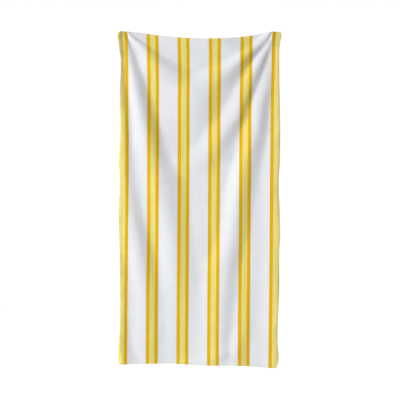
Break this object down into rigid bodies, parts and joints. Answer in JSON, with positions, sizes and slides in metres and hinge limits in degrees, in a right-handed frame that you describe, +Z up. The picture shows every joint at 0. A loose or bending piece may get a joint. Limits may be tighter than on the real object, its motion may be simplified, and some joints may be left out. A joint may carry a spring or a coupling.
{
  "type": "beach towel",
  "caption": "Long sheet of terry cloth with lengthwise stripes and a turned hem at each end, hung by its two top corners so that soft folds fan out from them.",
  "frame": {"origin": "middle of the top edge, where the edge sags lowest, half way through the cloth", "axes": "+Z up the towel's length, +X across its width to the right as seen from the front, -Y out of its front face"},
  "size_m": [0.7491, 0.0429, 1.5356],
  "materials": {
    "terry": "matte"
  },
  "bodies": {
    "root": {"towel": "terry"}
  },
  "joints": []
}
